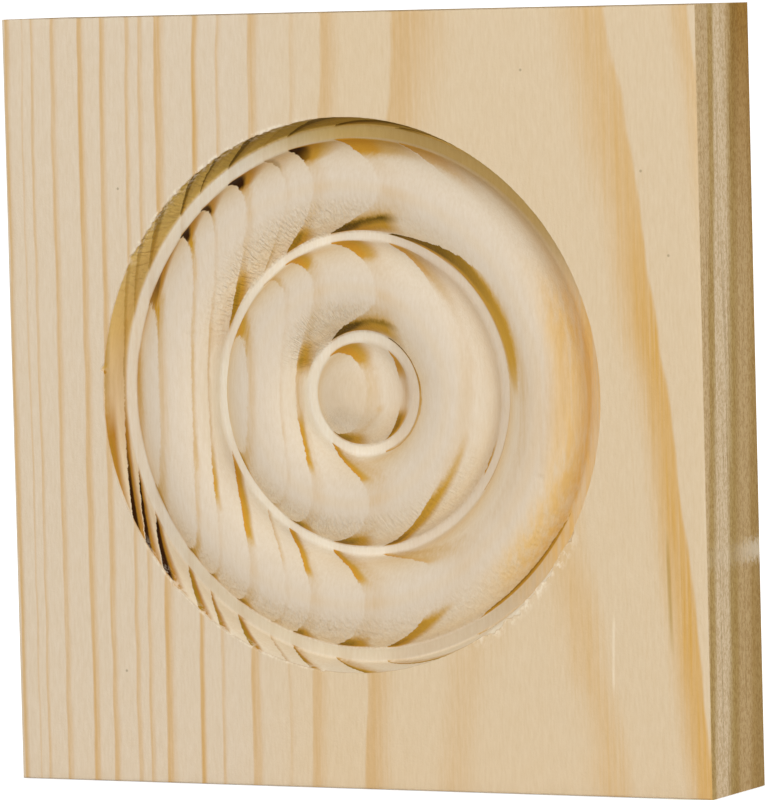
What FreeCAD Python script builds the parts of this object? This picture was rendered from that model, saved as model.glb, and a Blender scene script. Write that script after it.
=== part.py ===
import FreeCAD, Part
import os
import Sketcher

# Corner rosette block: a sawn softwood block with a bullseye rosette turned into its front face.
# Millimetres. The back face lies on the plane Y = 0, the front face looks along -Y, and Z is up.

doc = FreeCAD.newDocument("corner_rosette_block")

# Sizes, each written once.
sheet = doc.addObject("Spreadsheet::Sheet", "Sizes")
sizes = {
    "block_width": 95.25,
    "block_height": 95.75,
    "block_thickness": 15.875,
    "arris_radius": 0.3,
    "rosette_rise": 0.75,
    "rosette_left": 0.25,
    "button_radius": 6.4,
    "button_lip_width": 1.4,
    "inner_bead_width": 11.15,
    "lip_width": 1.2,
    "outer_bead_width": 11.35,
    "ledge_width": 1.8,
    "wall_draft": 1.0,
    "wall_foot_radius": 0.5,
    "crest_drop": 0.2,
    "lip_depth": 4.65,
    "ledge_depth": 4.2,
}
for row, (alias, value) in enumerate(sizes.items(), start=1):
    sheet.set("A%d" % row, alias)
    sheet.set("B%d" % row, str(value))
    sheet.setAlias("B%d" % row, alias)
doc.recompute()

# Smallest distance that tells two places apart.
near = 1e-4


def size(*aliases):
    """Sum of named sizes."""
    return sum(float(getattr(sheet, alias)) for alias in aliases)


def formula(*aliases):
    """The same sum as an expression on the sheet."""
    return " + ".join("Sizes." + alias for alias in aliases)


def origin_plane(body, role):
    """Origin plane of a body by its role."""
    for feature in body.Origin.OriginFeatures:
        if feature.Role == role:
            return feature
    raise ValueError("no origin plane " + role)


def dimension(sketch, name, expression, *terms):
    """Add a named dimension to a sketch and tie it to the sheet."""
    index = sketch.addConstraint(Sketcher.Constraint(*terms))
    sketch.renameConstraint(index, name)
    sketch.setExpression("Constraints." + name, expression)


block = doc.addObject("PartDesign::Body", "rosette_block")
block.Label = "rosette_block"

# Outline of the block on the back plane, centred on the origin.
outline = block.newObject("Sketcher::SketchObject", "block_outline")
outline.AttachmentSupport = [(origin_plane(block, "XZ_Plane"), "")]
outline.MapMode = "FlatFace"
right = size("block_width") / 2
top = size("block_height") / 2
corners = [FreeCAD.Vector(across, up, 0) for across, up in
           ((-right, -top), (right, -top), (right, top), (-right, top))]
for side in range(4):
    outline.addGeometry(Part.LineSegment(corners[side], corners[(side + 1) % 4]), False)
for side in range(4):
    outline.addConstraint(Sketcher.Constraint("Coincident", side, 2, (side + 1) % 4, 1))
    outline.addConstraint(Sketcher.Constraint("Vertical" if side % 2 else "Horizontal", side))
outline.addConstraint(Sketcher.Constraint("Symmetric", 0, 1, 1, 2, -1, 1))
dimension(outline, "width", formula("block_width"), "DistanceX", 0, 1, 0, 2, 2 * right)
dimension(outline, "height", formula("block_height"), "DistanceY", 1, 1, 1, 2, 2 * top)
doc.recompute()

# Blank: the outline carried forward from the back plane to the front face.
blank = block.newObject("PartDesign::Pad", "blank")
blank.Profile = outline
blank.Length = size("block_thickness")
blank.setExpression("Length", formula("block_thickness"))
outline.Visibility = False
doc.recompute()
if blank.Shape.BoundBox.YMax > near:
    blank.Reversed = True
    doc.recompute()

# Turned section of the rosette. Its own axes are radius from the turning axis and depth below the face.
section = block.newObject("Sketcher::SketchObject", "rosette_section")
section.AttachmentSupport = [(origin_plane(block, "XY_Plane"), "")]
section.MapMode = "FlatFace"
section.setExpression("AttachmentOffset.Base.x", "-Sizes.rosette_left")
section.setExpression("AttachmentOffset.Base.y", "-Sizes.block_thickness")
section.setExpression("AttachmentOffset.Base.z", "Sizes.rosette_rise")
doc.recompute()

# Radii of the section as running sums, from the turning axis outwards.
button_edge = ["button_radius"]
inner_bead_start = button_edge + ["button_lip_width"]
inner_bead_end = inner_bead_start + ["inner_bead_width"]
outer_bead_start = inner_bead_end + ["lip_width"]
outer_bead_end = outer_bead_start + ["outer_bead_width"]
wall_foot = outer_bead_end + ["ledge_width"]
rim = wall_foot + ["wall_draft"]


def at(radius, depth):
    """Point of the section by the sizes that add up to its radius and to its depth."""
    return FreeCAD.Vector(size(*radius), size(*depth), 0)


def crest_arc(start, end):
    """Arc between two feet with its crest half-way between them."""
    crest = FreeCAD.Vector((start.x + end.x) / 2, size("crest_drop"), 0)
    return Part.Arc(start, crest, end)


def button_arc(crest, edge):
    """Quarter of the button, a spherical cap centred on the turning axis."""
    rise = edge.y - crest.y
    ball = (edge.x ** 2 + rise ** 2) / (2 * rise)
    half_way = FreeCAD.Vector(edge.x / 2, crest.y + ball - (ball ** 2 - edge.x ** 2 / 4) ** 0.5, 0)
    return Part.Arc(crest, half_way, edge)


# The removed region: button, lip, inner bead, lip, outer bead, ledge and wall, closed off before the face.
points = [
    at([], ["crest_drop"]),
    at(button_edge, ["lip_depth"]),
    at(inner_bead_start, ["lip_depth"]),
    at(inner_bead_end, ["lip_depth"]),
    at(outer_bead_start, ["lip_depth"]),
    at(outer_bead_end, ["ledge_depth"]),
    at(wall_foot, ["ledge_depth"]),
    at(rim, []),
    at(rim, []) - at([], ["block_thickness"]),
    at([], []) - at([], ["block_thickness"]),
]
button, button_lip, inner_bead, lip, outer_bead, ledge, wall, riser, closing, axis = range(10)
for edge in range(10):
    start = points[edge]
    end = points[(edge + 1) % 10]
    if edge == button:
        curve = button_arc(start, end)
    elif edge in (inner_bead, outer_bead):
        curve = crest_arc(start, end)
    else:
        curve = Part.LineSegment(start, end)
    section.addGeometry(curve, False)


def end_at(edge, point):
    """Which end of an edge of the section lies at a point."""
    return 1 if section.getPoint(edge, 1).distanceToPoint(point) < near else 2


# Each edge ends where the next one starts.
for edge in range(10):
    following = (edge + 1) % 10
    joint = points[following]
    section.addConstraint(Sketcher.Constraint(
        "Coincident", edge, end_at(edge, joint), following, end_at(following, joint)))

# Lips and ledge lie flat, the turning axis and the riser stand upright, and the rim lies in the face.
for edge in (button_lip, lip, ledge, closing):
    section.addConstraint(Sketcher.Constraint("Horizontal", edge))
for edge in (riser, axis):
    section.addConstraint(Sketcher.Constraint("Vertical", edge))
section.addConstraint(Sketcher.Constraint("PointOnObject", axis, 2, -2))
section.addConstraint(Sketcher.Constraint("PointOnObject", button, 3, -2))
section.addConstraint(Sketcher.Constraint("PointOnObject", riser, 1, -1))

# Both beads touch one crest line below the face.
crest_start = at(inner_bead_start, ["crest_drop"])
crest_end = at(outer_bead_end, ["crest_drop"])
crest_line = section.addGeometry(Part.LineSegment(crest_start, crest_end), True)
section.addConstraint(Sketcher.Constraint("Horizontal", crest_line))
for end, name, radius in ((1, "crest_line_start", inner_bead_start), (2, "crest_line_end", outer_bead_end)):
    dimension(section, name, formula(*radius), "DistanceX", -1, 1, crest_line, end, size(*radius))
dimension(section, "crest_line_drop", formula("crest_drop"), "DistanceY", -1, 1, crest_line, 1, size("crest_drop"))
for edge in (inner_bead, outer_bead):
    section.addConstraint(Sketcher.Constraint("Tangent", edge, crest_line))

# Radii and depths.
for name, edge, end, radius in (
        ("button_edge", button_lip, 1, button_edge),
        ("inner_bead_start", button_lip, 2, inner_bead_start),
        ("inner_bead_end", lip, 1, inner_bead_end),
        ("outer_bead_start", lip, 2, outer_bead_start),
        ("outer_bead_end", ledge, 1, outer_bead_end),
        ("wall_foot", ledge, 2, wall_foot),
        ("rim", riser, 1, rim)):
    dimension(section, name, formula(*radius), "DistanceX", -1, 1, edge, end, size(*radius))
for name, edge, end, depth in (
        ("button_lip_depth", button_lip, 1, "lip_depth"),
        ("lip_depth", lip, 1, "lip_depth"),
        ("ledge_depth", ledge, 1, "ledge_depth"),
        ("button_crest", axis, 2, "crest_drop")):
    dimension(section, name, formula(depth), "DistanceY", -1, 1, edge, end, size(depth))
dimension(section, "closing_height", formula("block_thickness"),
          "DistanceY", closing, 1, -1, 1, size("block_thickness"))
doc.recompute()

# The rosette, turned out of the front face.
rosette = block.newObject("PartDesign::Groove", "rosette")
rosette.Profile = section
rosette.ReferenceAxis = (section, ["V_Axis"])
rosette.Angle = 360
section.Visibility = False
doc.recompute()
if rosette.Shape.Volume > blank.Shape.Volume - near:
    raise ValueError("the rosette removes nothing")


def edges_in_plane(shape, level):
    """Names and edges of a shape that lie in the plane Y = level."""
    found = []
    for number, edge in enumerate(shape.Edges, start=1):
        box = edge.BoundBox
        if abs(box.YMin - level) < near and abs(box.YMax - level) < near:
            found.append(("Edge%d" % number, edge))
    return found


# Soft foot of the recess wall: the widest ring on the ledge.
face_level = -size("block_thickness")
ledge_rings = edges_in_plane(rosette.Shape, face_level + size("ledge_depth"))
widest = max(ledge_rings, key=lambda ring: ring[1].BoundBox.XLength)
soft_foot = block.newObject("PartDesign::Fillet", "soft_foot")
soft_foot.Base = (rosette, [widest[0]])
soft_foot.Radius = size("wall_foot_radius")
soft_foot.setExpression("Radius", formula("wall_foot_radius"))
doc.recompute()

# Eased arrises: the straight edges of the front face.
straight = [name for name, edge in edges_in_plane(soft_foot.Shape, face_level)
            if min(edge.BoundBox.XLength, edge.BoundBox.ZLength) < near]
arrises = block.newObject("PartDesign::Fillet", "front_arrises")
arrises.Base = (soft_foot, straight)
arrises.Radius = size("arris_radius")
arrises.setExpression("Radius", formula("arris_radius"))
doc.recompute()

# Soundness of every object, then the exchange file.
for item in doc.Objects:
    if "Invalid" in item.State or "Error" in item.State:
        raise ValueError("not sound: " + item.Name)
if block.Shape.isNull() or not block.Shape.isValid():
    raise ValueError("the block is not a valid solid")
os.makedirs("parts", exist_ok=True)
block.Shape.exportStep("parts/" + block.Label + ".step")
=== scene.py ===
import math
from types import SimpleNamespace

import bpy
import numpy as np
from mathutils import Matrix, Vector


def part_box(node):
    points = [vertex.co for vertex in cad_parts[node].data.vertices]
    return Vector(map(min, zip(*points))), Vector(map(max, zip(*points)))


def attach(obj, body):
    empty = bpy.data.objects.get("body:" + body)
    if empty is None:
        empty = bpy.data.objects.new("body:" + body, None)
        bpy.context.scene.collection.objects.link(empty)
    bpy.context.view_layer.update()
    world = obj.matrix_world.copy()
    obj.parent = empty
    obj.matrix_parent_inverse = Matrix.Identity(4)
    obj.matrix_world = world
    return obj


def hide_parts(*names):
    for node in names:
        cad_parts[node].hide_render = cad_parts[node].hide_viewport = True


# Corner rosette block of sawn pine, in metres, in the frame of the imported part.
# The back face lies on Y = 0, the front face looks along -Y, Z is up and the fibres run along Z.

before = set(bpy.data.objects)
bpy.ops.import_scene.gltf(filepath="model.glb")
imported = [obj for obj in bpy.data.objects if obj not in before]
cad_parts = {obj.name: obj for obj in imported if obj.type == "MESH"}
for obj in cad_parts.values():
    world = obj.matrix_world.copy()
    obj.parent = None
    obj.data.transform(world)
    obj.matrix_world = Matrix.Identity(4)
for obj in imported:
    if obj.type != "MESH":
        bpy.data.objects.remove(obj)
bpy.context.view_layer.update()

MM = 0.001
block_low, block_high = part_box("rosette_block")
half_width = (block_high.x - block_low.x) / 2 / MM
half_height = (block_high.z - block_low.z) / 2 / MM
thickness = (block_high.y - block_low.y) / MM
centre = (block_low + block_high) / 2 / MM

# Turned section in millimetres: radius from the turning axis, and depth below the face.
rosette_x = -0.25
rosette_z = 0.75
button_edge = 6.4
inner_bead_start = 7.8
inner_bead_end = 18.95
outer_bead_start = 20.15
outer_bead_end = 31.5
wall_foot = 33.3
rim = 34.3
crest_drop = 0.2
lip_depth = 4.65
ledge_depth = 4.2
foot_radius = 0.5
arris_radius = 0.3

# Fineness of the mesh, and how far the corners between beads and flats are rounded.
ring_step = 0.42
spokes = 640
corner_steps = 4
corner_reach = 0.3
sharp_angle = math.radians(35)

# Breaks in the rim: middle and half width in degrees around the turning axis, and reach in millimetres.
rim_breaks = [
    (-30.0, 2.0, 0.6),
    (-39.0, 2.2, 0.8),
    (-44.6, 1.2, 0.6),
    (-49.5, 2.6, 0.9),
    (-55.5, 3.0, 0.8),
    (-97.6, 0.8, 0.4),
    (-112.4, 0.8, 0.4),
    (-119.9, 0.8, 0.4),
    (-125.6, 0.9, 0.5),
    (-135.8, 1.2, 0.6),
    (150.0, 1.2, 0.5),
    (174.6, 1.0, 0.5),
]
break_depth = 0.9
fringe_start = 98.0
fringe_end = 153.0
fringe_reach = 0.3
fringe_fade = 6.0
rim_roughness = 0.05
rim_seed = 7

# Dents in the turned surface, in millimetres: across, up, radius and depth.
dents = [
    (0.9, -29.8, 0.5, 0.15),
    (2.6, -30.0, 0.4, 0.12),
    (-4.4, -16.2, 0.5, 0.15),
    (4.5, -14.8, 0.6, 0.12),
    (2.8, -15.6, 0.4, 0.10),
    (25.5, -9.3, 0.45, 0.22),
    (26.6, -6.0, 0.5, 0.10),
    (25.4, -14.4, 0.5, 0.12),
    (-1.5, -1.6, 0.7, 0.08),
    (-0.2, -2.6, 0.5, 0.08),
    (-22.5, 8.0, 0.5, 0.15),
]


def even_steps(start, end, step):
    """Parameters from 0 up to, but not including, 1 that divide a length evenly."""
    count = max(1, int(round(math.dist(start, end) / step)))
    return np.arange(count) / count


def line_points(start, end, step):
    """Points along a straight part of the section, without its end."""
    share = even_steps(start, end, step)[:, None]
    return (1 - share) * np.array(start) + share * np.array(end)


def arc_points(middle, radius, start_angle, end_angle, step):
    """Points along an arc of the section, without its end. Angles run from straight up towards the rim."""
    count = max(2, int(round(abs(end_angle - start_angle) * radius / step)))
    angle = start_angle + (end_angle - start_angle) * np.arange(count) / count
    return np.stack([middle[0] + radius * np.sin(angle), middle[1] - radius * np.cos(angle)], 1)


def bead_points(start, end, step):
    """Arc that stands on two feet and touches the crest line."""
    first = start[1] - crest_drop
    last = end[1] - crest_drop
    square = last - first
    middle = last * start[0] - first * end[0]
    rest = last * start[0] ** 2 - first * end[0] ** 2 + first * last * (first - last)
    if abs(square) < 1e-9:
        crest = (start[0] + end[0]) / 2
    else:
        crest = (middle + math.sqrt(middle ** 2 - square * rest)) / square
        if not start[0] < crest < end[0]:
            crest = (middle - math.sqrt(middle ** 2 - square * rest)) / square
    radius = ((start[0] - crest) ** 2 + first ** 2) / (2 * first)
    hub = (crest, crest_drop + radius)
    return arc_points(hub, radius, math.asin((start[0] - crest) / radius),
                      math.asin((end[0] - crest) / radius), step)


def soften(points, corner, reach):
    """Replace the points near a corner of the section by a smooth bend."""
    corner = np.array(corner)
    away = np.linalg.norm(points - corner, axis=1)
    close = np.nonzero(away < reach)[0]
    before = points[close[0] - 1]
    after = points[close[-1] + 1]
    share = (np.arange(corner_steps) + 1)[:, None] / (corner_steps + 1)
    bend = (1 - share) ** 2 * before + 2 * share * (1 - share) * corner + share ** 2 * after
    return np.concatenate([points[:close[0]], bend, points[close[-1] + 1:]])


def section_points():
    """The turned section from the turning axis to the rim."""
    rise = lip_depth - crest_drop
    ball = (button_edge ** 2 + rise ** 2) / (2 * rise)
    button = arc_points((0, crest_drop + ball), ball, 0.0, math.asin(button_edge / ball), ring_step)
    button_lip = line_points((button_edge, lip_depth), (inner_bead_start, lip_depth), ring_step)
    inner = bead_points((inner_bead_start, lip_depth), (inner_bead_end, lip_depth), ring_step)
    lip = line_points((inner_bead_end, lip_depth), (outer_bead_start, lip_depth), ring_step)
    outer = bead_points((outer_bead_start, lip_depth), (outer_bead_end, ledge_depth), ring_step)
    slope = np.array([rim - wall_foot, -ledge_depth])
    slope = slope / np.linalg.norm(slope)
    turn = math.acos(slope[0])
    back = foot_radius * math.tan(turn / 2)
    ledge_end = (wall_foot - back, ledge_depth)
    wall_start = (wall_foot + back * slope[0], ledge_depth + back * slope[1])
    ledge = line_points((outer_bead_end, ledge_depth), ledge_end, ring_step)
    hub = (ledge_end[0], ledge_depth - foot_radius)
    foot = arc_points(hub, foot_radius, math.pi, math.pi - turn, ring_step / 2)
    wall = line_points(wall_start, (rim, 0.0), ring_step)
    section = np.concatenate([button, button_lip, inner, lip, outer, ledge, foot, wall, [[rim, 0.0]]])
    for radius in (button_edge, inner_bead_start, inner_bead_end, outer_bead_start):
        section = soften(section, (radius, lip_depth), corner_reach)
    return soften(section, (outer_bead_end, ledge_depth), corner_reach)


def spoke_angles():
    """Even directions around the turning axis, four of them turned on to the corners of the face."""
    angle = np.arange(spokes) * 2 * math.pi / spokes - math.pi
    for across in (-1, 1):
        for up in (-1, 1):
            corner = math.atan2(up * (half_height - arris_radius) - rosette_z,
                                across * (half_width - arris_radius) - rosette_x)
            angle[np.argmin(np.abs(angle - corner))] = corner
    return angle


def outline_at(angle):
    """Where each direction leaves the flat of the face."""
    wide = half_width - arris_radius
    tall = half_height - arris_radius
    nothing = 1e-9
    run_x = np.cos(angle)
    run_z = np.sin(angle)
    run_x[np.abs(run_x) < nothing] = nothing
    run_z[np.abs(run_z) < nothing] = nothing
    reach_x = (np.sign(run_x) * wide - rosette_x) / run_x
    reach_z = (np.sign(run_z) * tall - rosette_z) / run_z
    reach = np.minimum(reach_x, reach_z)
    return np.stack([rosette_x + reach * run_x, rosette_z + reach * run_z], 1)


def rim_shift(angle):
    """How far the rim is broken outwards in each direction, or overhung by a fringe of torn fibres."""
    degrees = np.degrees(angle)
    grain = np.random.default_rng(rim_seed).random(spokes)
    shift = rim_roughness * (grain - 0.5)
    for middle, half, reach in rim_breaks:
        share = np.clip(1 - np.abs(degrees - middle) / half, 0, 1)
        shift += reach * np.sqrt(share) * (0.4 + 0.6 * grain)
    fringe = np.clip((degrees - fringe_start) / fringe_fade, 0, 1)
    fringe = fringe * np.clip((fringe_end - degrees) / fringe_fade, 0, 1)
    return shift - fringe_reach * fringe * grain ** 2


def dented(plan, depth):
    """Depth of the points of a ring with the dents added."""
    deeper = np.full(len(plan), depth)
    for across, up, size, drop in dents:
        away = np.hypot(plan[:, 0] - across, plan[:, 1] - up)
        deeper += drop * np.exp(-(away / size) ** 2)
    return deeper


def block_rings():
    """Rings of points from the crest of the button over the face and the sides to the middle of the back."""
    angle = spoke_angles()
    run = np.stack([np.cos(angle), np.sin(angle)], 1)
    hub = np.array([rosette_x, rosette_z])
    edge = outline_at(angle)
    rings = []
    shift = rim_shift(angle)
    for radius, depth in section_points()[1:]:
        share = max(0.0, 1 - depth / break_depth) if radius > wall_foot else 0.0
        plan = hub + (radius + share * shift)[:, None] * run
        rings.append((plan, dented(plan, depth)))
    face_steps = 12
    for step in range(1, face_steps + 1):
        share = step / face_steps
        rings.append(((1 - share) * (hub + (rim + shift)[:, None] * run) + share * edge, 0.0))
    wide = half_width - arris_radius
    tall = half_height - arris_radius
    arris_steps = 3
    for step in range(1, arris_steps + 1):
        turn = step / arris_steps * math.pi / 2
        out = arris_radius * math.sin(turn)
        grown = edge * np.array([(wide + out) / wide, (tall + out) / tall])
        rings.append((grown, arris_radius * (1 - math.cos(turn))))
    side = edge * np.array([half_width / wide, half_height / tall])
    side_steps = 6
    for step in range(1, side_steps + 1):
        share = step / side_steps
        rings.append((side, arris_radius + share * (thickness - arris_radius)))
    back_steps = 6
    for step in range(1, back_steps):
        rings.append((side * (1 - step / back_steps), thickness))
    return rings


def block_mesh():
    """One closed mesh of the whole block."""
    rings = block_rings()
    count = len(rings)
    points = np.zeros((count * spokes + 2, 3))
    for index, (plan, depth) in enumerate(rings):
        row = slice(index * spokes, (index + 1) * spokes)
        points[row, 0] = plan[:, 0]
        points[row, 1] = depth
        points[row, 2] = plan[:, 1]
    points[-2] = (rosette_x, crest_drop, rosette_z)
    points[-1] = (0.0, thickness, 0.0)
    here = np.arange(spokes)
    after = (here + 1) % spokes
    faces = []
    for index in range(count - 1):
        inner = index * spokes
        outer = inner + spokes
        faces.append(np.stack([inner + here, inner + after, outer + after, outer + here], 1))
    quads = np.concatenate(faces)
    first = np.stack([np.full(spokes, count * spokes), after, here], 1)
    last_row = (count - 1) * spokes
    last = np.stack([np.full(spokes, count * spokes + 1), last_row + here, last_row + after], 1)
    return points, quads, np.concatenate([first, last])


def add_block():
    """The block as one object, built in the place and to the size of its plain solid."""
    points, quads, fans = block_mesh()
    place = points.copy()
    place[:, 0] += centre.x
    place[:, 1] += block_low.y / MM
    place[:, 2] += centre.z
    mesh = bpy.data.meshes.new("pine_rosette_block")
    mesh.from_pydata((place * MM).tolist(), [], quads.tolist() + fans.tolist())
    mesh.update()
    mesh.polygons.foreach_set("use_smooth", np.ones(len(mesh.polygons), bool))
    mesh.set_sharp_from_angle(angle=sharp_angle)
    piece = bpy.data.objects.new("pine_rosette_block", mesh)
    bpy.context.scene.collection.objects.link(piece)
    return piece


def linear(red, green, blue):
    """Colour of a surface from its eight-bit values."""
    shares = [value / 255 for value in (red, green, blue)]
    return tuple(s / 12.92 if s <= 0.04045 else ((s + 0.055) / 1.055) ** 2.4 for s in shares) + (1.0,)


class Graph:
    """Node tree of one material, with short calls for its nodes."""

    def __init__(self, tree):
        self.tree = tree
        tree.nodes.clear()

    def node(self, kind, **settings):
        """New node with its settings."""
        made = self.tree.nodes.new(kind)
        for name, value in settings.items():
            setattr(made, name, value)
        return made

    def feed(self, socket, value):
        """Link a socket to another one, or set it to a constant."""
        if isinstance(value, bpy.types.NodeSocket):
            self.tree.links.new(value, socket)
        else:
            socket.default_value = value

    def math(self, operation, *values, clamp=False):
        """One step of arithmetic."""
        made = self.node("ShaderNodeMath", operation=operation, use_clamp=clamp)
        for socket, value in zip(made.inputs, values):
            self.feed(socket, value)
        return made.outputs[0]

    def times(self, first, *others):
        """Product of all values."""
        for value in others:
            first = self.math("MULTIPLY", first, value)
        return first

    def rest(self, share):
        """What a share leaves of one."""
        return self.math("SUBTRACT", 1.0, share)

    def remap(self, value, low, high, to_low=0.0, to_high=1.0, smooth=False):
        """Value carried from one range to another, and held at its ends."""
        made = self.node("ShaderNodeMapRange", clamp=True)
        made.interpolation_type = "SMOOTHSTEP" if smooth else "LINEAR"
        for socket, item in zip(made.inputs, (value, low, high, to_low, to_high)):
            self.feed(socket, item)
        return made.outputs[0]

    def mix(self, share, first, second, blend="MIX"):
        """Second colour laid over the first by a share."""
        made = self.node("ShaderNodeMix", data_type="RGBA", blend_type=blend)
        self.feed(made.inputs[0], share)
        self.feed(made.inputs[6], first)
        self.feed(made.inputs[7], second)
        return made.outputs[2]

    def blend(self, share, first, second):
        """Number between two others by a share."""
        made = self.node("ShaderNodeMix", data_type="FLOAT")
        self.feed(made.inputs[0], share)
        self.feed(made.inputs[2], first)
        self.feed(made.inputs[3], second)
        return made.outputs[0]

    def parts(self, vector):
        """The three parts of a vector."""
        made = self.node("ShaderNodeSeparateXYZ")
        self.feed(made.inputs[0], vector)
        return made.outputs

    def noise(self, place, stretch, detail=2.0, roughness=0.5):
        """Noise between 0 and 1, with its own fineness along each axis."""
        scaled = self.node("ShaderNodeVectorMath", operation="MULTIPLY")
        self.feed(scaled.inputs[0], place)
        scaled.inputs[1].default_value = stretch
        made = self.node("ShaderNodeTexNoise", noise_dimensions="3D")
        self.feed(made.inputs["Vector"], scaled.outputs[0])
        made.inputs["Scale"].default_value = 1.0
        made.inputs["Detail"].default_value = detail
        made.inputs["Roughness"].default_value = roughness
        return made.outputs["Fac"]

    def sway(self, place, stretch, detail=2.0, roughness=0.5):
        """Noise to both sides of zero."""
        return self.math("SUBTRACT", self.noise(place, stretch, detail, roughness), 0.5)

    def away(self, across, up, middle_across, middle_up):
        """Distance from a point of the face."""
        run_x = self.math("SUBTRACT", across, middle_across)
        run_z = self.math("SUBTRACT", up, middle_up)
        square = self.math("MULTIPLY_ADD", run_x, run_x, self.math("MULTIPLY", run_z, run_z))
        return self.math("SQRT", square)

    def ramp(self, value, stops):
        """Colour by a row of stops."""
        made = self.node("ShaderNodeValToRGB")
        entries = made.color_ramp.elements
        while len(entries) < len(stops):
            entries.new(0.5)
        for entry, (place, colour) in zip(entries, stops):
            entry.position = place
            entry.color = colour
        self.feed(made.inputs[0], value)
        return made.outputs[0]

    def curve(self, value, points):
        """Number by straight lines through points."""
        made = self.node("ShaderNodeFloatCurve")
        line = made.mapping.curves[0]
        while len(line.points) < len(points):
            line.points.new(0.5, 0.5)
        for point, (across, up) in zip(line.points, points):
            point.location = (across, up)
            point.handle_type = "VECTOR"
        made.mapping.update()
        self.feed(made.inputs["Value"], value)
        return made.outputs[0]


# Growth rings from the pith outwards, in millimetres: distance of the latewood's bark-side edge from the
# pith, thickness of the latewood, and how strongly it shows.
growth_rings = [
    (22.0, 0.9, 0.6),
    (27.0, 0.9, 0.6),
    (31.0, 0.9, 0.6),
    (35.2, 0.9, 0.6),
    (39.0, 1.0, 0.6),
    (43.6, 1.2, 0.6),
    (47.5, 1.6, 0.6),
    (51.4, 1.1, 0.55),
    (53.5, 0.45, 0.3),
    (56.8, 0.9, 0.65),
    (59.7, 0.45, 0.5),
    (61.9, 0.6, 1.0),
    (65.6, 1.0, 0.75),
    (67.4, 0.6, 0.55),
    (68.8, 0.6, 0.6),
    (71.6, 0.75, 0.7),
    (74.0, 0.85, 0.75),
    (77.1, 0.75, 0.6),
    (79.4, 0.45, 0.55),
    (80.5, 0.27, 0.55),
    (82.5, 0.65, 0.75),
    (86.0, 0.6, 0.6),
]

# Pith line of the trunk in millimetres: across and behind the face at mid height, with its lean along
# the grain. The taper is what the square of the distance gains with each millimetre of height.
pith_across = 22.77
pith_across_lean = -0.0265
pith_behind = 43.14
pith_behind_lean = 0.0837
ring_taper = -3.71

# Sways of the rings: fineness along each axis, detail of the noise, and reach in millimetres.
ring_sways = [
    ((0.05, 0.05, 0.02), 1.0, 0.4),
    ((0.6, 0.6, 0.04), 2.0, 0.25),
    ((0.16, 0.16, 0.1), 1.0, 0.5),
]

# Ring inside which the turned wood is yellower, and beyond which the marks in the upper grooves end short.
groove_ring = growth_rings[5][0]

# Pin dots in the planed face, in millimetres across and up.
pin_dots = [(24.4, 40.4), (40.1, 28.0), (43.5, 17.8), (-32.2, -33.9), (-31.6, 26.5)]
dot_radius = 0.22
dot_share = 0.4

# Torn stretches of the rim: bearings in radians, upwards from the left, over which each begins and ends,
# its fading to both sides of the rim in millimetres, and its share.
rim_tears = [
    ((0.4, 0.6), (1.5, 1.3), (0.4, 0.1), 0.6),
    ((-1.5, -1.4), (-0.5, -0.7), (0.35, 0.1), 0.6),
    ((-2.7, -2.55), (-2.0, -2.15), (1.5, 0.5), 0.65),
]

# Height of the pale nick in the right side, and of the finest relief, in millimetres.
nick_height = -16.8
relief_height = 0.06

# Colours of the planed face, of the freshly turned rosette and of fibres cut across.
bark_side_colour = linear(223, 206, 182)
pith_side_colour = linear(224, 203, 171)
late_colour = linear(212, 172, 112)
orange_late_colour = linear(214, 165, 78)
turned_early_colour = linear(223, 208, 188)
turned_late_colour = linear(200, 152, 48)
# Bank colours by where the bank looks: warm painted shade where it looks left, painted light where it looks
# right or down.
left_bank_shade_colour = linear(230, 204, 160)
right_bank_lit_colour = linear(241, 228, 206)
# Warm colour of the outer bead's right flank: partly painted warm shade, partly orange latewood grain.
warm_bank_shade_and_grain_colour = linear(236, 192, 106)
down_bank_lit_colour = linear(243, 226, 196)
flat_colour = linear(245, 238, 223)
# Tint of painted shade under the upper rim and on the right side's upper back corner.
shade_tint = linear(214, 192, 134)
mottle_tint = linear(248, 244, 236)
heart_tint = linear(252, 246, 235)
dark_end_colour = linear(52, 26, 4)
olive_end_colour = linear(98, 76, 22)
olive_foot_colour = linear(132, 100, 34)
brown_end_colour = linear(172, 136, 42)
golden_end_colour = linear(196, 150, 56)
orange_end_colour = linear(210, 154, 52)
halo_colour = linear(204, 158, 60)
brown_halo_colour = linear(188, 136, 48)
olive_halo_colour = linear(140, 110, 48)
# Tint of painted shade on the lower ledge.
low_ledge_shade_tint = linear(236, 231, 221)
side_tint = linear(252, 245, 226)
burr_colour = linear(248, 237, 217)
speckle_tint = linear(230, 221, 206)
side_late_colour = linear(150, 118, 58)

# Colours of the recess wall with painted shade, from where it looks straight down (darkest) to where it looks
# up (palest).
wall_shade_stops = [
    (0.0, linear(167, 137, 60)),
    (0.07, linear(191, 159, 78)),
    (0.16, linear(217, 187, 109)),
    (0.38, linear(224, 191, 122)),
    (0.52, linear(240, 219, 182)),
    (0.8, linear(241, 229, 206)),
]

# Bands of the right side from front to back: colours, and the length, the start and the lean of their row
# in millimetres.
side_stops = [
    (0.0, linear(210, 184, 143)),
    (0.19, linear(210, 183, 141)),
    (0.22, linear(188, 158, 100)),
    (0.26, linear(194, 166, 112)),
    (0.31, linear(228, 206, 172)),
    (0.46, linear(228, 206, 172)),
    (0.53, linear(190, 162, 106)),
    (0.58, linear(182, 152, 94)),
    (0.66, linear(204, 175, 128)),
    (0.76, linear(204, 175, 128)),
    (0.84, linear(184, 152, 96)),
    (1.0, linear(176, 146, 94)),
]
side_reach = 20.0
side_start = 2.2
side_lean = -0.044

# Fine lines on the face, in millimetres: place across at mid height, lean, fading to both sides, heights
# over which each begins and ends, share and colour.
face_lines = [
    (42.1, -0.024, (0.35, 0.1), (-15.0, -19.0), (-31.0, -26.0), 0.5, brown_end_colour),
    (35.86, 0.0275, (0.22, 0.08), (-25.0, -27.0), (-36.0, -34.0), 0.4, burr_colour),
]


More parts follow.
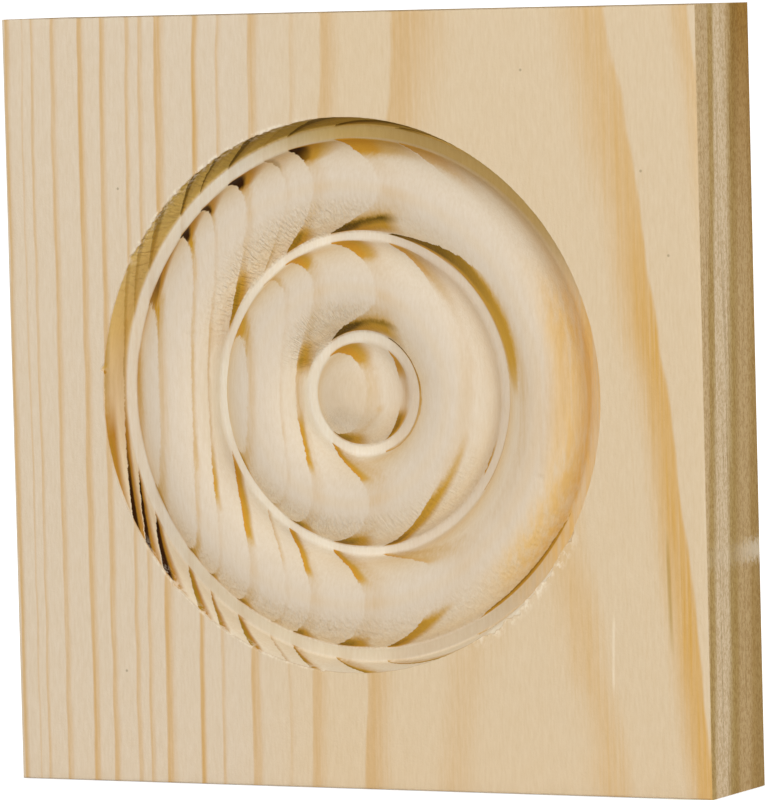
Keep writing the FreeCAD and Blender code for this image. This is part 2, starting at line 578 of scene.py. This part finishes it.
def read_surface(graph):
    """Measures of the surface at a point: its place in millimetres, its lean, and the part it belongs to."""
    wood = SimpleNamespace()
    scaled = graph.node("ShaderNodeVectorMath", operation="SCALE")
    graph.feed(scaled.inputs[0], graph.node("ShaderNodeTexCoord").outputs["Object"])
    scaled.inputs["Scale"].default_value = 1 / MM
    wood.place = scaled.outputs[0]
    wood.across, back, wood.up = graph.parts(wood.place)
    wood.depth = graph.math("SUBTRACT", back, block_low.y / MM)
    wood.radius = graph.away(wood.across, wood.up, rosette_x, rosette_z)
    leftwards = graph.math("SUBTRACT", rosette_x, wood.across)
    upwards = graph.math("SUBTRACT", wood.up, rosette_z)
    wood.bearing = graph.math("ARCTAN2", upwards, leftwards)

    # Lean: how far the surface looks to the right, ahead and up, and how squarely it cuts the fibres.
    normal = graph.node("ShaderNodeNewGeometry").outputs["Normal"]
    wood.looks_right, outwards, wood.facing = graph.parts(normal)
    wood.frontal = graph.math("ABSOLUTE", outwards)
    wood.slope = graph.math("SQRT", graph.rest(graph.times(wood.frontal, wood.frontal)), clamp=True)
    wood.across_fibres = graph.math("DIVIDE", graph.math("ABSOLUTE", wood.facing),
                                    graph.math("MAXIMUM", wood.slope, 0.01))
    wood.looks_up = graph.remap(wood.facing, -0.15, 0.15, smooth=True)
    wood.looks_down = graph.rest(wood.looks_up)

    # Parts: the turned rosette with its flats and its wall, halves of the block, and the upper right grooves.
    wood.inside = graph.times(graph.math("LESS_THAN", wood.radius, rim + 1.2),
                              graph.math("LESS_THAN", wood.depth, lip_depth + 1.0))
    wood.turned = graph.times(graph.remap(wood.depth, 0.05, 0.3, smooth=True), wood.inside)
    wood.flat = graph.times(graph.remap(wood.depth, 3.8, 4.1), graph.remap(wood.frontal, 0.85, 0.99),
                            wood.turned)
    wood.wall = graph.remap(wood.radius, wall_foot - 0.3, wall_foot + 0.1, smooth=True)
    wood.wall = graph.times(wood.wall, wood.turned)
    wood.low_half = graph.remap(wood.up, 4.0, -4.0, smooth=True)
    wood.right_half = graph.remap(wood.across, -2.0, 8.0, smooth=True)
    wood.upper_groove = graph.times(graph.math("SUBTRACT", wood.looks_down, wood.low_half, clamp=True),
                                    wood.right_half)

    # Unevenness: ragged cuts, streaks along the fibres and fine speckles.
    wood.ragged = graph.sway(wood.place, (1.5, 1.5, 1.0), 3.0, 0.7)
    wood.streak = graph.sway(wood.place, (2.4, 2.4, 0.05), 3.0, 0.6)
    wood.speckle = graph.remap(graph.noise(wood.place, (4.0, 4.0, 2.0), 2.0, 0.7), 0.45, 0.6)
    return wood


def read_rings(graph, wood):
    """Add the growth rings: distance from the pith, place within the year, and share of latewood."""
    # Distance from the pith, swaying slowly and ragged where the cutter passed.
    pith_x = graph.math("MULTIPLY_ADD", wood.up, pith_across_lean, pith_across)
    pith_d = graph.math("MULTIPLY_ADD", wood.up, pith_behind_lean, pith_behind)
    run_x = graph.math("SUBTRACT", wood.across, pith_x)
    run_d = graph.math("SUBTRACT", pith_d, wood.depth)
    square = graph.math("ADD", graph.times(run_x, run_x), graph.times(run_d, run_d))
    reach = graph.math("SQRT", graph.math("MULTIPLY_ADD", wood.up, ring_taper, square))
    for stretch, detail, amount in ring_sways:
        reach = graph.math("MULTIPLY_ADD", graph.sway(wood.place, stretch, detail), amount, reach)
    reach = graph.math("SUBTRACT", reach, graph.remap(wood.across, 34.0, 46.0, 0.0, 0.5))
    reach = graph.math("MULTIPLY_ADD", graph.times(wood.ragged, wood.turned), 0.5, reach)
    wood.reach = reach

    # Year by year: distance to the bark-side edge of the ring, and how its latewood shows.
    first = growth_rings[0][0]
    last = growth_rings[-1][0]
    years = len(growth_rings) - 1
    widest = 6.0
    thickest = 2.0
    knots = [index / years for index in range(years + 1)]
    widths = [after[0] - before[0] for before, after in zip(growth_rings, growth_rings[1:])]
    widths = widths[:1] + widths
    age = graph.curve(graph.remap(reach, first, last),
                      [((ring[0] - first) / (last - first), knot) for ring, knot in zip(growth_rings, knots)])
    age = graph.times(age, float(years))
    year = graph.math("DIVIDE", graph.math("CEIL", age), float(years))
    width = graph.curve(year, [(knot, item / widest) for knot, item in zip(knots, widths)])
    band = graph.curve(year, [(knot, ring[1] / thickest) for knot, ring in zip(knots, growth_rings)])
    strength = graph.curve(year, [(knot, ring[2]) for knot, ring in zip(knots, growth_rings)])
    wood.portion = graph.rest(graph.math("FRACT", age))
    wood.inward = graph.times(wood.portion, width, widest)
    wood.band = graph.times(band, thickest)
    wood.strength = graph.times(strength, graph.remap(wood.inward, 0.0, 0.2, smooth=True))

    # Latewood, sharp towards the bark, fading towards the pith and broken up into fibres.
    fade_start = graph.times(wood.band, 0.4)
    fade_end = graph.math("MULTIPLY_ADD", wood.band, 1.3, 0.15)
    late = graph.remap(wood.inward, fade_start, fade_end, 1.0, 0.0, smooth=True)
    soft_edge = graph.remap(wood.inward, 0.0, graph.remap(reach, 43.0, 44.5, 1.3, 0.3), smooth=True)
    late = graph.times(late, wood.strength, soft_edge, graph.math("ADD", wood.streak, 1.0))
    wood.late = graph.math("MULTIPLY_ADD", wood.streak, 0.22, late, clamp=True)
    wood.early_colour = graph.mix(graph.remap(reach, 50.0, 58.0), pith_side_colour, bark_side_colour)


def face_colour(graph, wood):
    """Planed face: latewood lines in early wood, two fine lines and pin dots."""
    late_tone = graph.mix(graph.remap(wood.across, 18.0, 30.0), late_colour, orange_late_colour)
    inner_ring = graph.remap(wood.reach, 44.2, 45.0, 0.85, 1.0)
    right_ring = graph.remap(wood.up, 8.0, 42.0, 1.2, 0.7)
    right_ring = graph.remap(wood.across, 18.0, 30.0, 1.0, right_ring)
    top_right = graph.times(graph.remap(wood.across, 41.0, 42.5), graph.remap(wood.up, 8.0, 16.0))
    corner_ring = graph.blend(top_right, 1.0, graph.remap(wood.up, 18.0, 42.0, 0.2, 1.0))
    shown = graph.times(inner_ring, right_ring, corner_ring)
    late = graph.math("MULTIPLY", wood.late, shown, clamp=True)
    colour = graph.mix(late, wood.early_colour, late_tone)
    on_face = graph.math("LESS_THAN", wood.depth, 1.0)
    for middle, lean, width, top, bottom, share, tone in face_lines:
        slip = graph.math("SUBTRACT", wood.across, graph.math("MULTIPLY_ADD", wood.up, lean, middle))
        line = graph.remap(graph.math("ABSOLUTE", slip), width[0], width[1], 0.0, share)
        line = graph.times(line, graph.remap(wood.up, *top), graph.remap(wood.up, *bottom), on_face)
        colour = graph.mix(line, colour, tone)
    for dot_across, dot_up in pin_dots:
        away = graph.away(wood.across, wood.up, dot_across, dot_up)
        dot = graph.remap(away, dot_radius, dot_radius / 2, 0.0, dot_share)
        colour = graph.mix(graph.times(dot, on_face), colour, olive_end_colour)
    return colour


def turned_colour(graph, wood):
    """Turned rosette: pale crests and flats, banks with warm painted shade and painted light by where they
    look, and painted shade on the wall.
    """
    # Latewood shows on the slopes and hardly at all on crests and flats.
    steep = graph.remap(wood.frontal, 0.97, 0.55)
    shown = graph.math("MULTIPLY_ADD", steep, 0.55, graph.remap(wood.looks_right, -0.05, -0.35, 0.35, 1.0))
    lower_bank = graph.times(wood.low_half, wood.looks_down)
    upper_right = graph.times(wood.right_half, wood.looks_up, graph.remap(wood.up, 4.0, 10.0))
    for part, share in ((wood.flat, 0.45), (lower_bank, 0.6), (upper_right, 0.35)):
        shown = graph.times(shown, graph.remap(part, 0.0, 1.0, 1.0, share))
    right_bank = graph.times(graph.remap(wood.across, 23.5, 28.5, smooth=True),
                             graph.remap(graph.math("ABSOLUTE", wood.up), 19.0, 13.0, smooth=True))
    late = graph.times(wood.late, graph.math("MAXIMUM", shown, right_bank))
    late_tone = graph.mix(right_bank, turned_late_colour, orange_late_colour)

    # Crests, flats and banks.
    flat_tone = graph.mix(graph.times(wood.right_half, 0.7), flat_colour, turned_early_colour)
    early = graph.mix(wood.flat, turned_early_colour, flat_tone)
    bank = graph.times(graph.remap(wood.frontal, 0.985, 0.5), graph.rest(wood.flat))
    # Painted light and shade on the banks: warmer and darker where they look left, paler where they look
    # right or down.
    bank_light_and_shade_tone = graph.mix(graph.remap(wood.looks_right, -0.25, 0.35), left_bank_shade_colour, right_bank_lit_colour)
    bank_light_and_shade_tone = graph.mix(graph.remap(wood.facing, -0.1, -0.6), bank_light_and_shade_tone, down_bank_lit_colour)
    early = graph.mix(bank, early, bank_light_and_shade_tone)
    heart = graph.math("MAXIMUM", graph.remap(wood.reach, groove_ring + 0.2, groove_ring - 0.3),
                       graph.remap(wood.radius, 7.5, 6.0))
    heart = graph.times(heart, graph.remap(wood.radius, 19.5, 17.5), graph.remap(wood.frontal, 0.82, 0.95))
    early = graph.mix(heart, early, heart_tint, "MULTIPLY")
    # Painted light at the feet of the beads: deep parts are paled towards the flats' tone where shade gathers
    # in the corners.
    foot_painted_light = graph.times(graph.remap(wood.depth, 2.8, 4.4, 0.0, 0.75), graph.rest(wood.wall))
    early = graph.mix(foot_painted_light, early, flat_tone)

    # Painted shade under the upper rim and on the lower ledge, the warm bank at the right with partly painted
    # warm shade, and painted shade on the wall.
    slant = graph.math("MULTIPLY_ADD", wood.across, 0.4, wood.up)
    shade = graph.times(graph.remap(wood.radius, outer_bead_end - 0.6, outer_bead_end + 0.3),
                        graph.remap(slant, 20.0, 33.0, smooth=True))
    early = graph.mix(shade, early, shade_tint, "MULTIPLY")
    # Painted shade on the lower ledge, darker towards the bottom.
    low_ledge_shade = graph.times(graph.remap(wood.radius, outer_bead_end, outer_bead_end + 0.3),
                            graph.remap(wood.up, -14.0, -24.0), wood.flat)
    early = graph.mix(low_ledge_shade, early, low_ledge_shade_tint, "MULTIPLY")
    # Warm bank at the right: partly painted warm shade in place of grey shading, partly streaky orange grain.
    warm_streak = graph.noise(wood.place, (1.1, 1.1, 0.06), 3.0, 0.6)
    warm_shade_and_grain = graph.times(graph.remap(wood.radius, 26.5, 30.5, smooth=True),
                       graph.remap(wood.up, 20.0, 8.0, smooth=True),
                       graph.remap(wood.across, 14.0, 20.0),
                       graph.remap(wood.up, -28.0, -17.0, smooth=True),
                       graph.remap(warm_streak, 0.35, 0.6, 0.35, 0.8))
    early = graph.mix(warm_shade_and_grain, early, warm_bank_shade_and_grain_colour)
    # Painted shade on the wall: darker the more it looks down.
    wall_shade_tone = graph.ramp(graph.remap(wood.facing, -1.0, 1.0), wall_shade_stops)
    early = graph.mix(wood.wall, early, wall_shade_tone)
    return graph.mix(late, early, late_tone)


def side_colour(graph, wood):
    """Sawn sides: duller, with darker latewood, and bands of their own on the right."""
    sawn = graph.noise(wood.place, (2.0, 2.0, 2.0), 3.0, 0.7)
    drift = graph.sway(wood.place, (0.5, 0.9, 0.03), 3.0, 0.65)
    portion = graph.math("MULTIPLY_ADD", drift, 0.5, wood.portion)
    late = graph.times(graph.remap(portion, 0.0, 0.12, smooth=True),
                       graph.remap(portion, 0.35, 0.75, 0.62, 0.0, smooth=True))
    late = graph.math("MULTIPLY_ADD", wood.streak, 0.9, late, clamp=True)
    colour = graph.mix(late, wood.early_colour, side_late_colour)
    # Mottled yellower tint on the sides, growing towards the back.
    sawn_tint_share = graph.remap(wood.depth, 6.0, thickness, -0.4, 0.4)
    sawn_tint_share = graph.math("MULTIPLY_ADD", sawn, 1.6, sawn_tint_share, clamp=True)
    colour = graph.mix(sawn_tint_share, colour, side_tint, "MULTIPLY")

    # Bands of the right side by depth, leaning along the grain, and painted shade on its upper back corner.
    right_side = graph.math("GREATER_THAN", wood.looks_right, 0.5)
    band_place = graph.math("MULTIPLY_ADD", wood.up, side_lean, graph.math("ADD", wood.depth, side_start))
    band_place = graph.math("MULTIPLY_ADD", drift, 2.0, band_place)
    band_place = graph.math("MULTIPLY_ADD", wood.streak, 1.8, band_place)
    bands = graph.ramp(graph.math("DIVIDE", band_place, side_reach), side_stops)
    colour = graph.mix(right_side, colour, bands)
    colour = graph.mix(graph.remap(wood.streak, 0.04, 0.22, 0.0, 0.4), colour, side_late_colour)
    back_corner_shade = graph.times(graph.remap(wood.up, 15.0, 47.0), graph.remap(wood.depth, 7.0, 13.0),
                              right_side)
    colour = graph.mix(back_corner_shade, colour, shade_tint, "MULTIPLY")
    colour = graph.mix(wood.speckle, colour, speckle_tint, "MULTIPLY")

    # Pale nick in the right side.
    slip = graph.math("MULTIPLY_ADD", sawn, 4.0, graph.math("SUBTRACT", wood.up, nick_height))
    nick = graph.times(graph.remap(graph.math("ABSOLUTE", slip), 1.8, 0.6),
                       graph.remap(wood.depth, 8.0, 14.5, 0.1, 0.5),
                       graph.math("GREATER_THAN", wood.across, 0.0))
    return graph.mix(nick, colour, burr_colour)


def cut_end_shares(graph, wood):
    """How fully the core and the halo of latewood cut across its fibres show at a point."""
    # Slope from which the cut ends show on the beads, and how fully, by the part of the rosette.
    up_from = graph.blend(wood.low_half, graph.blend(wood.right_half, 0.54, 0.72), 0.45)
    down_from = graph.blend(wood.low_half, graph.blend(wood.right_half, 0.74, 0.4),
                            graph.blend(wood.right_half, 0.72, 0.5))
    core_from = graph.blend(wood.looks_down, up_from, down_from)
    halo_from = graph.math("SUBTRACT", core_from, 0.1)
    up_amount = graph.blend(wood.low_half, graph.remap(wood.across, 6.0, 18.0, 0.7, 0.1), 0.4)
    up_amount = graph.blend(wood.right_half, 1.0, up_amount)
    tail = graph.times(graph.math("GREATER_THAN", wood.reach, groove_ring),
                       graph.remap(wood.across, 4.5, 7.0), wood.upper_groove)
    amount = graph.blend(wood.looks_down, up_amount, 1.0)
    amount = graph.times(amount, graph.rest(tail), graph.rest(wood.wall))
    backing = graph.times(graph.remap(wood.looks_right, -0.2, -0.5, 0.0, 0.4), wood.right_half)
    cut = graph.math("ADD", wood.across_fibres, backing)
    slope = graph.math("MULTIPLY_ADD", wood.ragged, 0.14, wood.slope)
    bead_core = graph.times(graph.remap(slope, core_from, graph.math("ADD", core_from, 0.12), smooth=True),
                            graph.remap(cut, 0.3, 0.55, smooth=True), amount)
    bead_halo = graph.times(graph.remap(slope, halo_from, graph.math("ADD", halo_from, 0.2), smooth=True),
                            graph.remap(cut, 0.2, 0.5, smooth=True), amount)

    # The wall shows them by how squarely it cuts the fibres.
    wall_core = graph.blend(wood.looks_down, graph.remap(wood.across_fibres, 0.1, 0.35, smooth=True),
                            graph.remap(wood.across_fibres, 0.4, 0.85, 0.15, 0.85, smooth=True))
    wall_halo = graph.blend(wood.looks_down, graph.remap(wood.across_fibres, 0.0, 0.15, 0.5, 1.0),
                            graph.remap(wood.across_fibres, 0.6, 0.95, 0.0, 0.7))
    core_share = graph.math("MAXIMUM", bead_core, graph.times(wood.wall, wall_core))
    halo_share = graph.math("MAXIMUM", bead_halo, graph.times(wood.wall, wall_halo))
    return graph.times(core_share, wood.turned), graph.times(halo_share, wood.turned)


def cut_end_colours(graph, wood):
    """Colours of the core and the halo: near black on the outer bead's upper outside and low on the wall."""
    outer = graph.times(graph.remap(wood.radius, 24.0, 27.0, smooth=True),
                        graph.remap(wood.across, -3.0, -8.0, smooth=True))
    up_core = graph.mix(outer, orange_end_colour, dark_end_colour)
    up_core = graph.mix(wood.low_half, up_core, orange_end_colour)
    middle = graph.remap(graph.math("ABSOLUTE", wood.across), 9.0, 5.0)
    middle = graph.times(middle, graph.rest(wood.low_half))
    groove = graph.times(graph.remap(wood.across, 21.0, 12.0), graph.remap(wood.up, 4.0, 14.0),
                         wood.right_half, 0.8)
    down_core = graph.mix(wood.right_half, brown_end_colour, golden_end_colour)
    down_core = graph.mix(graph.math("MAXIMUM", middle, groove), down_core, olive_end_colour)
    foot = graph.times(graph.remap(wood.slope, 0.8, 0.92), wood.low_half, 0.7)
    down_core = graph.mix(foot, down_core, olive_foot_colour)
    core = graph.mix(wood.looks_up, down_core, up_core)
    slant = graph.math("MULTIPLY_ADD", wood.depth, 1.1, wood.across)
    black_wall = graph.times(graph.remap(slant, -31.6, -30.8), graph.remap(slant, -22.0, -23.0),
                             wood.low_half)
    wall_core = graph.mix(wood.looks_up, olive_end_colour, brown_end_colour)
    wall_core = graph.mix(black_wall, wall_core, dark_end_colour)
    core = graph.mix(wood.wall, core, wall_core)
    halo = graph.mix(graph.times(wood.wall, wood.looks_down), halo_colour, olive_halo_colour)
    halo = graph.mix(graph.times(outer, wood.looks_up), halo, brown_halo_colour)
    return core, halo


def mark_cut_ends(graph, wood, colour):
    """Latewood cut across its fibres: a golden halo around a core, widest at the foot of each slope."""
    low_spread = graph.remap(wood.across, -16.0, -4.0, 0.75, 0.35)
    high_spread = graph.times(graph.remap(wood.slope, 0.5, 0.93, 0.4, 2.4),
                              graph.remap(wood.radius, 20.0, 24.0, 0.45, 1.0))
    up_spread = graph.blend(wood.low_half, high_spread, low_spread)
    down_spread = graph.blend(wood.right_half, graph.remap(wood.slope, 0.7, 0.93, 0.4, 1.4),
                              graph.blend(wood.low_half, 1.9, 0.7))
    spread = graph.blend(wood.looks_down, up_spread, down_spread)
    wall_spread = graph.blend(wood.looks_down, graph.remap(wood.across, -30.0, -6.0, 1.4, 0.3), 1.4)
    wall_spread = graph.times(graph.remap(wood.depth, 0.4, 4.2, 1.5, 0.4), wall_spread)
    spread = graph.blend(wood.wall, spread, wall_spread)
    core_width = graph.times(wood.band, spread)
    core_end = graph.math("MULTIPLY_ADD", core_width, 0.8, 0.1)
    halo_end = graph.math("MULTIPLY_ADD", spread, graph.blend(wood.upper_groove, 0.7, 0.35),
                          graph.times(core_width, 1.3))
    vigour = graph.remap(wood.strength, 0.2, 0.55, smooth=True)
    worn = graph.math("MULTIPLY_ADD", wood.ragged, 0.7, wood.inward)
    core = graph.remap(worn, graph.times(core_width, 0.5), core_end, 1.0, 0.0, smooth=True)
    halo = graph.remap(worn, graph.times(core_width, 0.9), halo_end, 1.0, 0.0, smooth=True)
    core_share, halo_share = cut_end_shares(graph, wood)
    core_tone, halo_tone = cut_end_colours(graph, wood)
    colour = graph.mix(graph.times(halo, vigour, halo_share), colour, halo_tone)
    return graph.mix(graph.times(core, vigour, core_share), colour, core_tone)


def tear_rim(graph, wood, colour):
    """Whitish torn fibres along the broken parts of the rim."""
    past_rim = graph.math("ABSOLUTE", graph.math("SUBTRACT", wood.radius, rim))
    torn = 0.0
    for start, end, reach, share in rim_tears:
        stretch = graph.times(graph.remap(wood.bearing, *start), graph.remap(wood.bearing, *end),
                              graph.remap(past_rim, reach[0], reach[1], 0.0, share))
        torn = graph.math("MAXIMUM", torn, stretch)
    tufts = graph.remap(graph.noise(wood.place, (1.3, 1.3, 0.8), 3.0, 0.7), 0.45, 0.6)
    return graph.mix(graph.times(tufts, torn, graph.remap(wood.depth, 3.2, 1.4)), colour, burr_colour)


def torn_slopes(graph, wood):
    """How torn the fibres are where the cutter met them from below."""
    return graph.times(graph.remap(wood.facing, -0.12, -0.5, smooth=True), wood.turned,
                       graph.remap(wood.across, 6.0, -4.0, 0.5, 1.0),
                       graph.remap(wood.radius, 5.0, 8.0, 0.4, 1.0))


def fine_relief(graph, wood, torn_share):
    """Torn fibres around the turning axis, and a fine nap all over."""
    turn = graph.node("ShaderNodeCombineXYZ")
    graph.feed(turn.inputs[0], graph.times(wood.bearing, 22.0))
    graph.feed(turn.inputs[1], wood.radius)
    graph.feed(turn.inputs[2], wood.depth)
    torn = graph.remap(graph.noise(turn.outputs[0], (2.6, 1.3, 0.6), 1.0, 0.5), 0.35, 0.65, smooth=True)
    nap = graph.noise(wood.place, (5.0, 5.0, 3.0), 2.0, 0.6)
    relief = graph.node("ShaderNodeBump")
    relief.inputs["Strength"].default_value = 1.0
    relief.inputs["Distance"].default_value = relief_height * MM
    height = graph.math("MULTIPLY_ADD", nap, 0.7, graph.times(torn, torn_share, 1.6))
    graph.feed(relief.inputs["Height"], height)
    return relief.outputs[0]


def pine_material():
    """Solid pine: rings around a far pith, cut by every surface of the block."""
    material = bpy.data.materials.new("pine")
    material.use_nodes = True
    graph = Graph(material.node_tree)
    wood = read_surface(graph)
    read_rings(graph, wood)
    colour = graph.mix(wood.turned, face_colour(graph, wood), turned_colour(graph, wood))
    side = graph.times(graph.remap(wood.frontal, 0.5, 0.3), graph.rest(wood.inside))
    colour = graph.mix(side, colour, side_colour(graph, wood))
    colour = mark_cut_ends(graph, wood, colour)
    colour = tear_rim(graph, wood, colour)

    # Fine mottling along the fibres, and stipples on torn slopes.
    mottle = graph.noise(wood.place, (3.2, 3.2, 0.5), 4.0, 0.7)
    colour = graph.mix(graph.remap(mottle, 0.3, 0.7), colour, mottle_tint, "MULTIPLY")
    torn_share = torn_slopes(graph, wood)
    stipple = graph.times(wood.speckle, torn_share, 0.22, graph.rest(wood.wall))
    colour = graph.mix(stipple, colour, golden_end_colour)

    shader = graph.node("ShaderNodeBsdfPrincipled")
    graph.feed(shader.inputs["Base Color"], colour)
    graph.feed(shader.inputs["Normal"], fine_relief(graph, wood, torn_share))
    shader.inputs["Roughness"].default_value = 0.65
    shader.inputs["Specular IOR Level"].default_value = 0.06
    output = graph.node("ShaderNodeOutputMaterial")
    graph.feed(output.inputs["Surface"], shader.outputs[0])
    return material


block = add_block()
block.data.materials.append(pine_material())
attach(block, "root")
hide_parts("rosette_block")


# Camera at the photograph's place: turned about Z, raised and rolled, with a long lens.
camera_place = Vector((0.3963, -0.7954, 0.0535))
camera_turn = math.radians(26.679)
camera_rise = math.radians(3.493)
camera_roll = math.radians(-1.461)
focal_pixels = 7123.3
picture_height = 800


def add_camera():
    """Camera of the scene, looking at the block as the photograph does."""
    back = Vector((math.sin(camera_turn) * math.cos(camera_rise),
                   -math.cos(camera_turn) * math.cos(camera_rise), math.sin(camera_rise)))
    level = Vector((math.cos(camera_turn), math.sin(camera_turn), 0.0))
    upright = back.cross(level)
    right = level * math.cos(camera_roll) + upright * math.sin(camera_roll)
    up = upright * math.cos(camera_roll) - level * math.sin(camera_roll)
    data = bpy.data.cameras.new("camera")
    data.sensor_width = 36.0
    data.lens = focal_pixels * data.sensor_width / picture_height
    data.clip_end = 200.0
    camera = bpy.data.objects.new("camera", data)
    turn = Matrix((right, up, back)).transposed().to_4x4()
    camera.matrix_world = Matrix.Translation(camera_place) @ turn
    bpy.context.scene.collection.objects.link(camera)
    bpy.context.scene.camera = camera


# Gap that keeps the floor from lying in the plane of the block's foot.
floor_gap = 0.1 * MM


def add_floor():
    """Pale floor that looks white to the camera and keeps the shadow of the block."""
    reach = 60.0
    level = block_low.z - floor_gap
    corners = [(-reach, -reach, level), (reach, -reach, level), (reach, reach, level), (-reach, reach, level)]
    mesh = bpy.data.meshes.new("floor")
    mesh.from_pydata(corners, [], [(0, 1, 2, 3)])
    material = bpy.data.materials.new("pale_floor")
    material.use_nodes = True
    graph = Graph(material.node_tree)
    seen = graph.node("ShaderNodeLightPath").outputs["Is Camera Ray"]
    shader = graph.node("ShaderNodeBsdfPrincipled")
    tone = graph.node("ShaderNodeMix", data_type="RGBA")
    graph.feed(tone.inputs[0], seen)
    tone.inputs[6].default_value = (0.7, 0.7, 0.7, 1.0)
    tone.inputs[7].default_value = (0.8, 0.8, 0.8, 1.0)
    graph.feed(shader.inputs["Base Color"], tone.outputs[2])
    shader.inputs["Roughness"].default_value = 0.9
    shader.inputs["Specular IOR Level"].default_value = 0.0
    shader.inputs["Emission Color"].default_value = (1.0, 1.0, 1.0, 1.0)
    graph.feed(shader.inputs["Emission Strength"], graph.math("MULTIPLY", seen, 0.75))
    output = graph.node("ShaderNodeOutputMaterial")
    graph.feed(output.inputs["Surface"], shader.outputs[0])
    mesh.materials.append(material)
    floor = bpy.data.objects.new("floor", mesh)
    bpy.context.scene.collection.objects.link(floor)


# Lamps: name, place, width and height in metres, and power in watts. Then the strength of the room's light.
soft_boxes = [
    ("front_box", (0.5, -2.2, 0.3), 1.6, 1.2, 20.0),
    ("left_box", (-1.6, -1.6, 0.2), 1.2, 1.0, 9.0),
    ("right_box", (1.7, -0.7, 0.5), 1.2, 1.0, 10.0),
]
room_light = 0.56


def add_soft_box(name, place, wide, tall, energy):
    """Rectangular lamp that looks at the block."""
    data = bpy.data.lights.new(name, "AREA")
    data.shape = "RECTANGLE"
    data.size = wide
    data.size_y = tall
    data.energy = energy
    lamp = bpy.data.objects.new(name, data)
    lamp.location = place
    lamp.rotation_euler = (-lamp.location).to_track_quat("-Z", "Y").to_euler()
    bpy.context.scene.collection.objects.link(lamp)


def add_light():
    """Wide soft box in front, weaker ones at both sides, and an even white room around them."""
    for soft_box in soft_boxes:
        add_soft_box(*soft_box)
    world = bpy.data.worlds.new("room")
    world.use_nodes = True
    graph = Graph(world.node_tree)
    seen = graph.node("ShaderNodeLightPath").outputs["Is Camera Ray"]
    room = graph.node("ShaderNodeBackground")
    room.inputs["Color"].default_value = (1.0, 1.0, 1.0, 1.0)
    graph.feed(room.inputs["Strength"], graph.remap(seen, 0.0, 1.0, room_light, 1.0))
    output = graph.node("ShaderNodeOutputWorld")
    graph.feed(output.inputs["Surface"], room.outputs[0])
    bpy.context.scene.world = world


add_camera()
add_floor()
add_light()

scene = bpy.context.scene
scene.view_settings.view_transform = "Standard"
